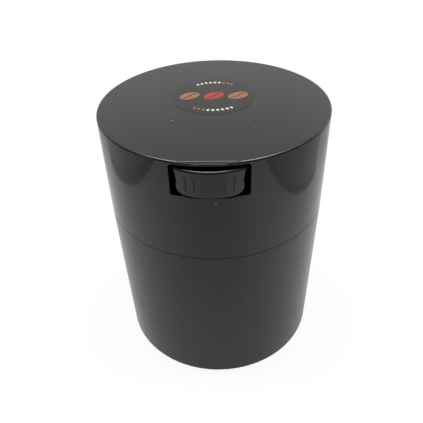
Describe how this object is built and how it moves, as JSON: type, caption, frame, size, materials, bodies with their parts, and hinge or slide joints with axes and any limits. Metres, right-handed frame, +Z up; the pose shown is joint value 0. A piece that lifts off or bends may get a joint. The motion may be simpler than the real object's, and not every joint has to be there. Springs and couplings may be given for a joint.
{
  "type": "coffee canister with valve",
  "caption": "Round black storage canister with a slide-over lid, a push button in the lid's side and an air valve that the button lifts through ramps.",
  "frame": {"origin": "centre of the foot ring, on the surface that the canister stands on", "axes": "+Z up along the canister's axis, the button faces -Y, +X to the right of someone facing the button"},
  "size_m": [0.1204, 0.1219, 0.149],
  "materials": {
    "base_plastic": "satin black moulding",
    "lid_plastic": "glossy black moulding",
    "inner_plastic": "matte black moulding",
    "seal_rubber": "matte dark grey silicone",
    "button_plastic": "glossy black moulding",
    "stem_plastic": "natural white acetal",
    "plug_rubber": "matte dark rubber",
    "spring_steel": "drawn stainless wire",
    "label_vinyl": "printed vinyl"
  },
  "bodies": {
    "base": {"base_cup": "base_plastic"},
    "lid": {"lid_shell": "lid_plastic", "inner_lid": "inner_plastic", "lid_seal": "seal_rubber", "top_label": "label_vinyl", "valve_spring": "spring_steel"},
    "button": {"release_button": "button_plastic"},
    "valve": {"valve_stem": "stem_plastic", "valve_plug": "plug_rubber"}
  },
  "joints": [
    {"name": "lid_lift", "type": "slide", "parent": "base", "child": "lid", "axis": [0, 0, 1], "range_m": [0, 0.12]},
    {"name": "button_press", "type": "slide", "parent": "lid", "child": "button", "axis": [0, 1, 0], "range_m": [0, 0.004], "stiffness_N_per_m": 600, "springref_m": -0.002},
    {"name": "valve_lift", "type": "slide", "parent": "lid", "child": "valve", "axis": [0, 0, 1], "range_m": [0, 0.0025], "deforming": ["valve_spring"]}
  ],
  "couplings": [
    {"joint": "valve_lift", "follows": "button_press", "ratio": 0.625}
  ]
}
